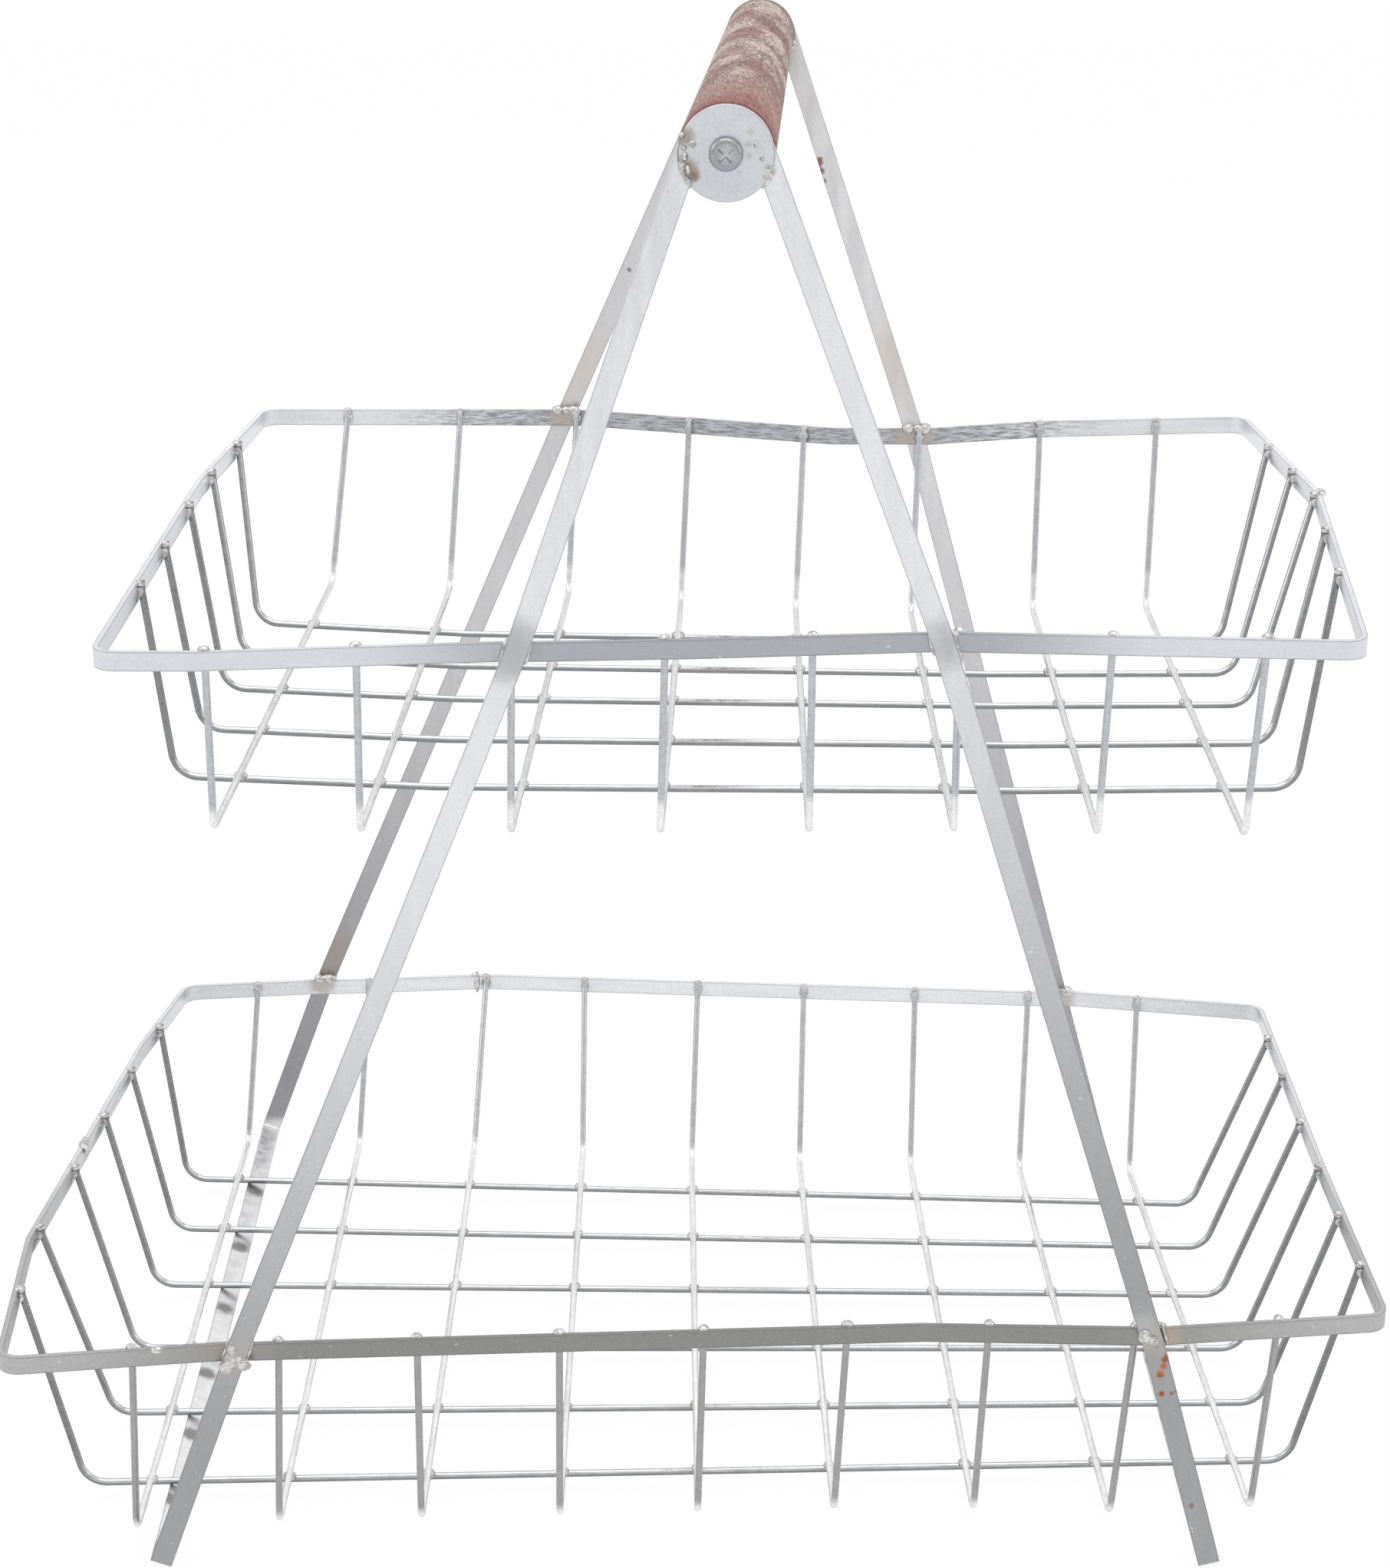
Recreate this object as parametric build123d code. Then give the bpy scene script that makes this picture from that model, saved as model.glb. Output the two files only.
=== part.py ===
from build123d import *
import os
from math import asin, atan, atan2, cos, hypot, sin, sqrt, tan

# Two-tier wire basket. Two bent strap frames stand left and right, carry a small upper tray and a
# larger lower tray, and end in two steel discs that hold a wooden handle running front to back.
# X runs along the trays, Y from front to back, Z up, and the frames stand on zero.

# Strap and wire stock
leg_width = 7.0
leg_thickness = 2.5
leg_bend_radius = 1.3
rim_height = 6.0
rim_thickness = 1.8
wire_diameter = 2.3
wire_end_rise = 0.6
wire_kink_drop = 2.4
weld_bite = 0.08
weld_flat = 11.0
runner_wear = 0.2

# Handle: a wooden grip, a little thicker at the front, between two discs with a screw in each
handle_height = 455.0
handle_length = 291.0
handle_skew = 15.5
handle_middle = 16.6
grip_front_diameter = 28.4
grip_rear_diameter = 24.6
grip_edge_round = 0.8
front_disc_diameter = 27.6
rear_disc_diameter = 25.2
disc_thickness = 3.0
end_play = 0.3
screw_diameter = 4.2
screw_length = 32.0
screw_tip_length = 5.0
screw_head_diameter = 9.8
screw_head_height = 2.6
screw_head_round = 1.5
recess_span = 5.4
recess_width = 1.1
recess_depth = 1.7
recess_turn = 45.0
pivot_clearance = 0.08

# Leg frames seen from the front: middle and spread of each pair of legs at the floor (foot), at the
# lower tray (knee) and at the upper tray (waist)
front_foot_spread = 343.5
front_foot_middle = -3.4
front_knee_spread = 293.0
front_knee_middle = 0.4
front_waist_spread = 128.6
front_waist_middle = 10.7
rear_foot_spread = 347.5
rear_foot_middle = -5.8
rear_knee_spread = 303.0
rear_knee_middle = -2.3
rear_waist_spread = 133.9
rear_waist_middle = 16.5

# Leg frames seen from the side, and how far each leg bows out from the straight line between its
# foot and the handle; the right rear leg is pulled in where the upper tray is welded
runner_start = -162.0
front_lean = 26.0
left_runner_length = 324.0
right_runner_length = 308.0
front_left_knee_bow = 0.5
front_left_waist_bow = 2.0
front_right_knee_bow = -5.0
front_right_waist_bow = -7.4
rear_left_knee_bow = 5.0
rear_left_waist_bow = 4.5
rear_right_knee_bow = -1.7
rear_right_waist_bow = -21.0

# Upper tray: rim corners, with their reach beyond the welds, and the bends between them
upper_top = 311.5
upper_front_width = 381.0
upper_front_middle = 11.1
upper_rear_width = 379.5
upper_rear_middle = 21.8
upper_corner_radius = 7.5
upper_front_left_reach = 9.2
upper_front_right_reach = 8.4
upper_rear_left_reach = 1.2
upper_rear_right_reach = 19.4
upper_front_bend_share = 0.41
upper_front_bend = 1.1
upper_front_left_bend_share = 0.26
upper_front_left_bend = 2.6
upper_rear_bend_share = 0.79
upper_rear_bend = -6.3
upper_rear_right_bend_share = 0.36
upper_rear_right_bend = 4.7
upper_left_bend_share = 0.65
upper_left_bend = 5.2
upper_right_bend_share = 0.6
upper_right_bend = 11.8

# Upper tray: bottom under the rim, and the places of its wires
upper_left_depth = 63.8
upper_right_depth = 71.8
upper_first_sag = 3.1
upper_last_sag = 2.2
upper_first_sag_share = 0.25
upper_last_sag_share = 0.75
upper_left_rear_inset = 4.5
upper_left_front_inset = 6.1
upper_left_inset_shares = (0, 0.8, 0.9, 0.9, 1)
upper_right_rear_inset = 10.7
upper_right_front_inset = 5.0
upper_right_inset_shares = (0, 0.05, 0.2, 0.55, 1)
upper_front_inset = 17.5
upper_rear_inset = 18.5
upper_long_left_first = 105.3
upper_long_left_last = -79.4
upper_long_left_shares = (0, 0.23, 0.475, 0.75, 1)
upper_long_right_first = 100.4
upper_long_right_last = -65.8
upper_long_right_shares = (0, 0.22, 0.42, 0.7, 1)
upper_long_low_left_first = 88.1
upper_long_low_left_last = -82.1
upper_long_low_right_first = 85.7
upper_long_low_right_last = -73.0
upper_long_low_shares = (0, 0.235, 0.46, 0.72, 1)
upper_cross_front_first = -145.5
upper_cross_front_last = 172.0
upper_cross_rear_first = -134.5
upper_cross_rear_last = 176.6
upper_cross_low_front_first = -148.4
upper_cross_low_front_last = 171.6
upper_cross_low_rear_first = -140.9
upper_cross_low_rear_last = 173.5
upper_cross_front_shares = (0, 0.14, 0.285, 0.43, 0.57, 0.71, 0.855, 1)
upper_cross_rear_shares = (0, 0.14, 0.285, 0.425, 0.565, 0.705, 0.855, 1)
upper_cross_low_front_shares = (0, 0.14, 0.285, 0.43, 0.575, 0.717, 0.857, 1)
upper_cross_low_rear_shares = (0, 0.145, 0.292, 0.431, 0.571, 0.711, 0.861, 1)

# Lower tray: rim corners, with their reach beyond the welds, and the bends between them
lower_front_top = 82.2
lower_rear_top = 70.9
lower_right_rise = 4.1
lower_front_width = 446.5
lower_front_middle = 1.3
lower_rear_width = 439.5
lower_rear_middle = 8.8
lower_corner_radius = 7.5
lower_front_left_reach = 9.0
lower_front_right_reach = -8.0
lower_rear_left_reach = -5.4
lower_rear_right_reach = -17.2
lower_front_bend_share = 0.76
lower_front_bend = -4.8
lower_rear_bend_share = 0.21
lower_rear_bend = 8.7
lower_left_front_bend_share = 0.27
lower_left_front_bend = 10.5
lower_left_rear_bend_share = 0.8
lower_left_rear_bend = 6.3
lower_right_bend_share = 0.45
lower_right_bend = -1.0

# Lower tray: insets of its bottom, and the places of its wires
lower_left_rear_inset = 4.6
lower_left_front_inset = 12.2
lower_left_inset_shares = (0, 0.4, 0.58, 0.82, 1, 0.92)
lower_right_rear_inset = 27.7
lower_right_front_inset = 19.3
lower_right_inset_shares = (0, 0.06, 0.18, 0.3, 0.52, 1)
lower_front_inset = 7.2
lower_rear_inset = 16.7
lower_long_left_first = 114.0
lower_long_left_last = -115.2
lower_long_left_shares = (0, 0.19, 0.38, 0.58, 0.795, 1)
lower_long_right_first = 92.5
lower_long_right_last = -104.9
lower_long_right_shares = (0, 0.19, 0.405, 0.61, 0.805, 1)
lower_long_low_left_first = 107.0
lower_long_low_left_last = -118.0
lower_long_low_right_first = 86.0
lower_long_low_right_last = -103.0
lower_long_low_shares = (0, 0.19, 0.39, 0.6, 0.8, 1)
lower_cross_front_first = -179.9
lower_cross_front_last = 188.4
lower_cross_rear_first = -180.8
lower_cross_rear_last = 179.4
lower_cross_low_front_first = -183.7
lower_cross_low_front_last = 184.7
lower_cross_low_rear_first = -184.6
lower_cross_low_rear_last = 176.2
lower_cross_front_shares = (0, 0.126, 0.246, 0.37, 0.496, 0.622, 0.746, 0.874, 1)
lower_cross_rear_shares = (0, 0.127, 0.261, 0.375, 0.505, 0.626, 0.752, 0.879, 1)
lower_cross_low_front_shares = (0, 0.126, 0.253, 0.377, 0.501, 0.624, 0.75, 0.872, 1)
lower_cross_low_rear_shares = (0, 0.128, 0.26, 0.384, 0.508, 0.63, 0.755, 0.877, 1)

# Bends in the wires
long_bend_radius = 9.0
sag_bend_radius = 60.0
cross_bend_radius = 5.0
hook_bend_radius = 4.0

# How closely the front and rear of each tray's bottom follow the bends of its rim
upper_front_follow_share = 0.55
upper_rear_follow_share = 0.55
lower_front_follow_share = 1
lower_rear_follow_share = 0

# How far trimming solids overrun
overrun = 30.0

wire_radius = wire_diameter / 2
wire_lap = wire_diameter - weld_bite
handle_front = runner_start + front_lean
handle_rear = handle_front + handle_length


def between(start, end, share):
    """Value or point that lies a share of the way from start to end."""
    return start + (end - start) * share


def along(points, value):
    """Second coordinate and slope of a chain of (first, second) points where the first is value."""
    for start, end in zip(points, points[1:]):
        if value <= end[0] or end is points[-1]:
            slope = (end[1] - start[1]) / (end[0] - start[0])
            return start[1] + slope * (value - start[0]), slope


def polygon(points, radii):
    """Closed face through points, with one corner radius for each point."""
    outline = FilletPolyline(*points, radius=radii, close=True)
    return make_face(outline)


# Handle ends and axis

def handle_centre(y):
    """Point of the handle's axis at the depth y."""
    x = handle_middle + handle_skew * ((y - handle_front) / handle_length - 1 / 2)
    return Vector(x, y, handle_height)


handle_axis = (handle_centre(handle_rear) - handle_centre(handle_front)).normalized()
handle_ends = {
    "front": (handle_centre(handle_front), handle_axis, front_disc_diameter),
    "rear": (handle_centre(handle_rear), handle_axis * -1, rear_disc_diameter),
}


# Places of the leg frames

side_signs = {"left": -1, "right": 1}
end_signs = {"front": -1, "rear": 1}
foot_depths = {
    ("left", "front"): runner_start,
    ("right", "front"): runner_start,
    ("left", "rear"): runner_start + left_runner_length,
    ("right", "rear"): runner_start + right_runner_length,
}
leg_heights = {
    "front": (0, lower_front_top - rim_height / 2, upper_top - rim_height / 2),
    "rear": (0, lower_rear_top - rim_height / 2, upper_top - rim_height / 2),
}
leg_spreads = {
    "front": (front_foot_spread, front_knee_spread, front_waist_spread),
    "rear": (rear_foot_spread, rear_knee_spread, rear_waist_spread),
}
leg_middles = {
    "front": (front_foot_middle, front_knee_middle, front_waist_middle),
    "rear": (rear_foot_middle, rear_knee_middle, rear_waist_middle),
}
leg_bows = {
    ("left", "front"): (0, front_left_knee_bow, front_left_waist_bow),
    ("right", "front"): (0, front_right_knee_bow, front_right_waist_bow),
    ("left", "rear"): (0, rear_left_knee_bow, rear_left_waist_bow),
    ("right", "rear"): (0, rear_right_knee_bow, rear_right_waist_bow),
}


def leg_points(side, end):
    """Middle of a leg's outer face at the foot, knee and waist, and where it runs onto the disc."""
    centre, _, diameter = handle_ends[end]
    foot_y = foot_depths[side, end]
    points = []
    for z, middle, spread, bow in zip(
        leg_heights[end], leg_middles[end], leg_spreads[end], leg_bows[side, end]
    ):
        x = middle + side_signs[side] * spread / 2
        y = between(foot_y, centre.Y, z / handle_height) + end_signs[end] * bow
        points.append(Vector(x, y, z))
    waist = points[-1]
    distance = hypot(centre.X - waist.X, centre.Z - waist.Z)
    offset_in = diameter / 2 - leg_width / 2
    turn = atan2(centre.X - waist.X, centre.Z - waist.Z)
    turn += side_signs[side] * asin(offset_in / distance)
    run = sqrt(distance * distance - offset_in * offset_in)
    z = waist.Z + run * cos(turn)
    y = between(waist.Y, centre.Y, (z - waist.Z) / (handle_height - waist.Z))
    points.append(Vector(waist.X + run * sin(turn), y, z))
    return points


def leg_inner_y(side, end, height):
    """Depth of the leg's inner face, which the rims are welded to."""
    line = [(point.Z, point.Y) for point in leg_points(side, end)]
    y, slope = along(line, height)
    return y - end_signs[end] * leg_thickness * hypot(1, slope)


def frame_tilt(side):
    """Lean of a frame out of the upright: the mean of its two legs below the lower tray."""
    leans = []
    for end in end_signs:
        foot, knee = leg_points(side, end)[:2]
        leans.append(side_signs[side] * (foot.X - knee.X) / knee.Z)
    return atan(sum(leans) / len(leans))


# Leg frames

def leg_face(side, end):
    """Outline of the leg's flat face seen from the front, from below the floor to the disc."""
    points = [(point.X, point.Z) for point in leg_points(side, end)]
    foot, knee = points[:2]
    share = -overrun / knee[1]
    points[0] = (between(foot[0], knee[0], share), between(foot[1], knee[1], share))
    left_edge = []
    right_edge = []
    for index, (x, z) in enumerate(points):
        before = points[max(index - 1, 0)]
        after = points[min(index + 1, len(points) - 1)]
        tilt = atan2(after[0] - before[0], after[1] - before[1])
        if index == len(points) - 1:
            shift = (leg_width / 2 * cos(tilt), -leg_width / 2 * sin(tilt))
        else:
            shift = (leg_width / 2 / cos(tilt), 0)
        left_edge.append((x - shift[0], z - shift[1]))
        right_edge.append((x + shift[0], z + shift[1]))
    outline = Polyline(*left_edge, *reversed(right_edge), close=True)
    return make_face(outline)


def frame_plane(side):
    """Plane of a frame: along its runner, and up its leaning legs."""
    front = leg_points(side, "front")[0]
    rear = leg_points(side, "rear")[0]
    tilt = frame_tilt(side)
    lean = Vector(-side_signs[side] * sin(tilt), 0, cos(tilt))
    run = (rear - front).normalized()
    return Plane(origin=front, x_dir=run, z_dir=run.cross(lean))


def frame_side(side, bottom):
    """Thin band of a frame seen square to its plane: front leg, runner and rear leg."""
    plane = frame_plane(side)
    lines = {}
    for end in end_signs:
        local = [plane.to_local_coords(point) for point in leg_points(side, end)]
        lines[end] = [(point.Y, point.X) for point in local]
    top = lines["front"][-1][0] + overrun
    points = []
    for end in end_signs:
        line = lines[end]
        _, knee, waist, _ = line
        climb = [(bottom, along(line, bottom)[0]), knee, waist, (top, along(line, top)[0])]
        points += reversed(climb) if end == "front" else climb
    bend = leg_bend_radius + leg_thickness
    whole = polygon([(x, y) for y, x in points], [0, 0, 0, bend, bend, 0, 0, 0])
    return whole - offset(whole, -leg_thickness)


def leg_frame(side):
    """One strap, bent up at both ends of its runner, worn flat below and coped to the discs."""
    plane = frame_plane(side)
    bottom = leg_width / 2 * tan(frame_tilt(side))
    band = frame_side(side, bottom)
    split = bottom + 2 * (leg_bend_radius + leg_thickness)
    below = Rectangle(
        4 * handle_length, split + overrun, align=(Align.CENTER, Align.MIN)
    )
    low_zone = Pos(0, -overrun) * below
    frame = extrude(plane * (band & low_zone), leg_width / 2, both=True)
    wide_band = extrude(plane * (band - low_zone), front_foot_spread / 2, both=True)
    for end, outward in end_signs.items():
        start = handle_centre((handle_front + handle_rear) / 2).Y
        view = Plane(origin=(0, start, 0), x_dir=(1, 0, 0), z_dir=(0, -1, 0))
        reach = handle_length / 2 + front_lean + 2 * overrun
        frame += wide_band & extrude(view * leg_face(side, end), -outward * reach)
    for end in handle_ends:
        frame -= disc_room(end)
    floor = Plane(origin=(0, 0, runner_wear))
    return frame - extrude(floor * Rectangle(4 * handle_length, 4 * handle_length), -overrun)


# Discs, screws and grip

def end_plane(end, depth):
    """Plane square to the handle's axis, facing inward, at a depth inside the disc's outer face."""
    centre, inward, _ = handle_ends[end]
    return Plane(origin=centre + inward * depth, x_dir=(0, 0, 1), z_dir=inward)


def disc_blank(end):
    """Disc without its hole."""
    diameter = handle_ends[end][2]
    return extrude(end_plane(end, 0) * Circle(diameter / 2), disc_thickness)


def disc_room(end):
    """Room that the legs leave free: the disc's own, and what lies in front of it."""
    depth = leg_width + disc_thickness
    return extrude(end_plane(end, -leg_width) * Circle(handle_ends[end][2] / 2), depth)


def end_disc(end):
    """Disc with the clearance hole that the screw turns in."""
    hole = Circle(screw_diameter / 2 + pivot_clearance)
    return disc_blank(end) - extrude(end_plane(end, 0) * hole, disc_thickness)


def handle_screw(end):
    """Cross-head wood screw through the disc into the grip."""
    shank_start = -end_play
    shank = extrude(
        end_plane(end, shank_start) * Circle(screw_diameter / 2), screw_length - screw_tip_length
    )
    tip_plane = end_plane(end, shank_start + screw_length - screw_tip_length)
    tip = extrude(tip_plane * Circle(screw_diameter / 2), screw_tip_length / 2)
    head_plane = end_plane(end, shank_start - screw_head_height)
    head = extrude(head_plane * Circle(screw_head_diameter / 2), screw_head_height)
    rim_edge = head.edges().sort_by(Axis(head_plane.origin, head_plane.z_dir))[0]
    head = fillet(rim_edge, screw_head_round)
    cross = Rectangle(recess_span, recess_width) + Rectangle(recess_width, recess_span)
    recess = extrude(head_plane * Rot(0, 0, recess_turn) * cross, recess_depth)
    return head - recess + shank + tip


def grip():
    """Turned wooden grip with a pilot bore at each end for its screw."""
    length = handle_length / handle_axis.Y - 2 * (disc_thickness + end_play)
    start = end_plane("front", disc_thickness + end_play)
    body = start * Cone(
        grip_front_diameter / 2, grip_rear_diameter / 2, length,
        align=(Align.CENTER, Align.CENTER, Align.MIN),
    )
    body = fillet(body.edges(), grip_edge_round)
    bore_depth = screw_length - screw_tip_length / 2 - end_play
    for end in handle_ends:
        body -= extrude(end_plane(end, 0) * Circle(screw_diameter / 2), bore_depth)
    return body


# Trays

def bulges(start, stop, bends, outward):
    """Points where a stretch of rim from start to stop is bent out, given as (share, bulge)."""
    points = []
    for share, bulge in bends:
        x = between(start[0], stop[0], share) + outward[0] * bulge
        y = between(start[1], stop[1], share) + outward[1] * bulge
        points.append((x, y))
    return points


def tray(joint, heights, corners, reaches, end_bends, side_bends, radius):
    """Plan of a tray's rim: chains of outer points from left to right and from front to rear."""
    welds = {}
    corner = {}
    for end, outward in end_signs.items():
        width, middle = corners[end]
        for side, sign in side_signs.items():
            point = leg_points(side, end)[joint]
            welds[side, end] = (point.X, leg_inner_y(side, end, point.Z))
            y = welds[side, end][1] + outward * reaches[side, end]
            corner[side, end] = (middle + sign * width / 2, y)
    chains = {}
    for end, outward in end_signs.items():
        chain = [corner["left", end]]
        for side, bends in zip(side_signs, end_bends[end]):
            x, y = welds[side, end]
            near, far = (x - weld_flat / 2, y), (x + weld_flat / 2, y)
            chain += [*bulges(chain[-1], near, bends, (0, outward)), near, far]
        last = corner["right", end]
        chains[end] = [*chain, *bulges(chain[-1], last, end_bends[end][-1], (0, outward)), last]
    for side, sign in side_signs.items():
        start, stop = corner[side, "front"], corner[side, "rear"]
        chains[side] = [start, *bulges(start, stop, side_bends[side], (sign, 0)), stop]
    front_top, rear_top, right_rise = heights
    rear_y = chains["rear"][0][1]
    front_y = chains["front"][0][1]
    fall = (rear_top - front_top) / (rear_y - front_y)
    rise = right_rise / corners["front"][0]
    return {
        "chains": chains, "radius": radius, "fall": fall, "rise": rise,
        "middle_top": front_top - fall * front_y,
    }


def rim_top(plan, x, y):
    """Height of the rim's top edge."""
    return plan["middle_top"] + plan["rise"] * x + plan["fall"] * y


def rim(plan):
    """Strap loop of a tray, standing on edge."""
    chains = plan["chains"]
    front, right = chains["front"], chains["right"]
    rear, left = chains["rear"][::-1], chains["left"][::-1]
    points = [*front, *right[1:-1], *rear, *left[1:-1]]
    corners = (front[0], front[-1], rear[0], rear[-1])
    radii = [plan["radius"] if point in corners else 0 for point in points]
    whole = polygon(points, radii)
    ring = whole - offset(whole, -rim_thickness)
    top = Plane(origin=(0, 0, rim_top(plan, 0, 0)), z_dir=(-plan["rise"], -plan["fall"], 1))
    column = extrude(Pos(0, 0, rim_top(plan, 0, 0) - overrun) * ring, 2 * overrun)
    slab = extrude(top * Rectangle(2 * front_foot_spread, 2 * front_foot_spread), -rim_height)
    return column & slab


def wire_place(points, value, outward):
    """How far a wire's middle lies from the zero planes where it stands against the rim."""
    outer, slope = along(points, value)
    return outer - outward * (rim_thickness + wire_radius - weld_bite) * hypot(1, slope)


def low_place(points, value, outward, inset, follow):
    """Same for the bottom of a wire, set in from the rim's corners and following its bends."""
    straight = [points[0], points[-1]]
    chain = [
        (first, between(along(straight, first)[0], second, follow)) for first, second in points
    ]
    return wire_place(chain, value, outward) - outward * inset


def bent_wire(start, stop, low_points, bend_radius):
    """Wire welded to two sides of a tray: down, in to the bottom, across and up again."""
    drop = Vector(0, 0, wire_kink_drop + wire_end_rise)
    sags = [sag_bend_radius] * (len(low_points) - 2)
    path = FilletPolyline(
        start, start - drop, *low_points, stop - drop, stop,
        radius=[hook_bend_radius, bend_radius, *sags, bend_radius, hook_bend_radius],
    )
    section = Plane(origin=start, z_dir=(0, 0, -1)) * Circle(wire_radius)
    return sweep(section, path=path)


def spread_places(first, last, shares):
    """Places from first to last."""
    return [between(first, last, share) for share in shares]


def long_wires(plan, floor, places):
    """Wires that run along the tray, lowest in its bottom."""
    lines = {side: [(y, x) for x, y in plan["chains"][side]] for side in side_signs}
    wires = []
    for left_y, right_y, low_left_y, low_right_y, left_inset, right_inset in zip(*places):
        ends = []
        for side, y, low_y, inset in (
            ("left", left_y, low_left_y, left_inset), ("right", right_y, low_right_y, right_inset),
        ):
            sign = side_signs[side]
            x = wire_place(lines[side], y, sign)
            ends.append(Vector(x, y, rim_top(plan, x, y) + wire_end_rise))
            low_x = low_place(lines[side], low_y, sign, inset, 0)
            ends.append(Vector(low_x, low_y, along(floor, low_x)[0]))
        start, low_start, stop, low_stop = ends
        line = [(low_start.X, low_start.Y), (low_stop.X, low_stop.Y)]
        sags = [Vector(x, along(line, x)[0], z) for x, z in floor[1:-1]]
        wires.append(bent_wire(start, stop, [low_start, *sags, low_stop], long_bend_radius))
    return wires


def cross_wires(plan, insets, follows, floor, places):
    """Wires that run from front to back and lie on the long wires."""
    wires = []
    for front_x, rear_x, low_front_x, low_rear_x in zip(*places):
        ends = []
        for end, x, low_x, inset, follow in (
            ("front", front_x, low_front_x, insets[0], follows[0]),
            ("rear", rear_x, low_rear_x, insets[1], follows[1]),
        ):
            chain = plan["chains"][end]
            outward = end_signs[end]
            y = wire_place(chain, x, outward)
            ends.append(Vector(x, y, rim_top(plan, x, y) + wire_end_rise))
            low_y = low_place(chain, low_x, outward, inset, follow)
            ends.append(Vector(low_x, low_y, along(floor, low_x)[0] + wire_lap))
        start, low_start, stop, low_stop = ends
        wires.append(bent_wire(start, stop, [low_start, low_stop], cross_bend_radius))
    return wires


upper_tray = tray(
    2, (upper_top, upper_top, 0),
    {"front": (upper_front_width, upper_front_middle), "rear": (upper_rear_width, upper_rear_middle)},
    {("left", "front"): upper_front_left_reach, ("right", "front"): upper_front_right_reach,
     ("left", "rear"): upper_rear_left_reach, ("right", "rear"): upper_rear_right_reach},
    {"front": ([(upper_front_left_bend_share, upper_front_left_bend)],
               [(upper_front_bend_share, upper_front_bend)], []),
     "rear": ([], [(upper_rear_bend_share, upper_rear_bend)],
              [(upper_rear_right_bend_share, upper_rear_right_bend)])},
    {"left": [(upper_left_bend_share, upper_left_bend)],
     "right": [(upper_right_bend_share, upper_right_bend)]},
    upper_corner_radius,
)
lower_tray = tray(
    1, (lower_front_top, lower_rear_top, lower_right_rise),
    {"front": (lower_front_width, lower_front_middle), "rear": (lower_rear_width, lower_rear_middle)},
    {("left", "front"): lower_front_left_reach, ("right", "front"): lower_front_right_reach,
     ("left", "rear"): lower_rear_left_reach, ("right", "rear"): lower_rear_right_reach},
    {"front": ([], [(lower_front_bend_share, lower_front_bend)], []),
     "rear": ([], [(lower_rear_bend_share, lower_rear_bend)], [])},
    {"left": [(lower_left_front_bend_share, lower_left_front_bend),
              (lower_left_rear_bend_share, lower_left_rear_bend)],
     "right": [(lower_right_bend_share, lower_right_bend)]},
    lower_corner_radius,
)

# Height of the long wires' middles by their place along each tray: the upper ones sag, and the
# lower ones lie on the runners' upper corners
upper_left = upper_front_middle - upper_front_width / 2
upper_right = upper_front_middle + upper_front_width / 2
upper_slope = (upper_left_depth - upper_right_depth) / upper_front_width
upper_floor = [
    (
        between(upper_left, upper_right, share),
        upper_top - upper_left_depth + upper_slope * upper_front_width * share - sag,
    )
    for share, sag in (
        (0, 0), (upper_first_sag_share, upper_first_sag), (upper_last_sag_share, upper_last_sag),
        (1, 0),
    )
]
lower_floor = []
for side, sign in side_signs.items():
    tilt = frame_tilt(side)
    height = leg_width * sin(tilt) + leg_thickness * cos(tilt) + wire_radius - weld_bite
    lower_floor.append((front_foot_middle + sign * front_foot_spread / 2, height))


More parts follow.
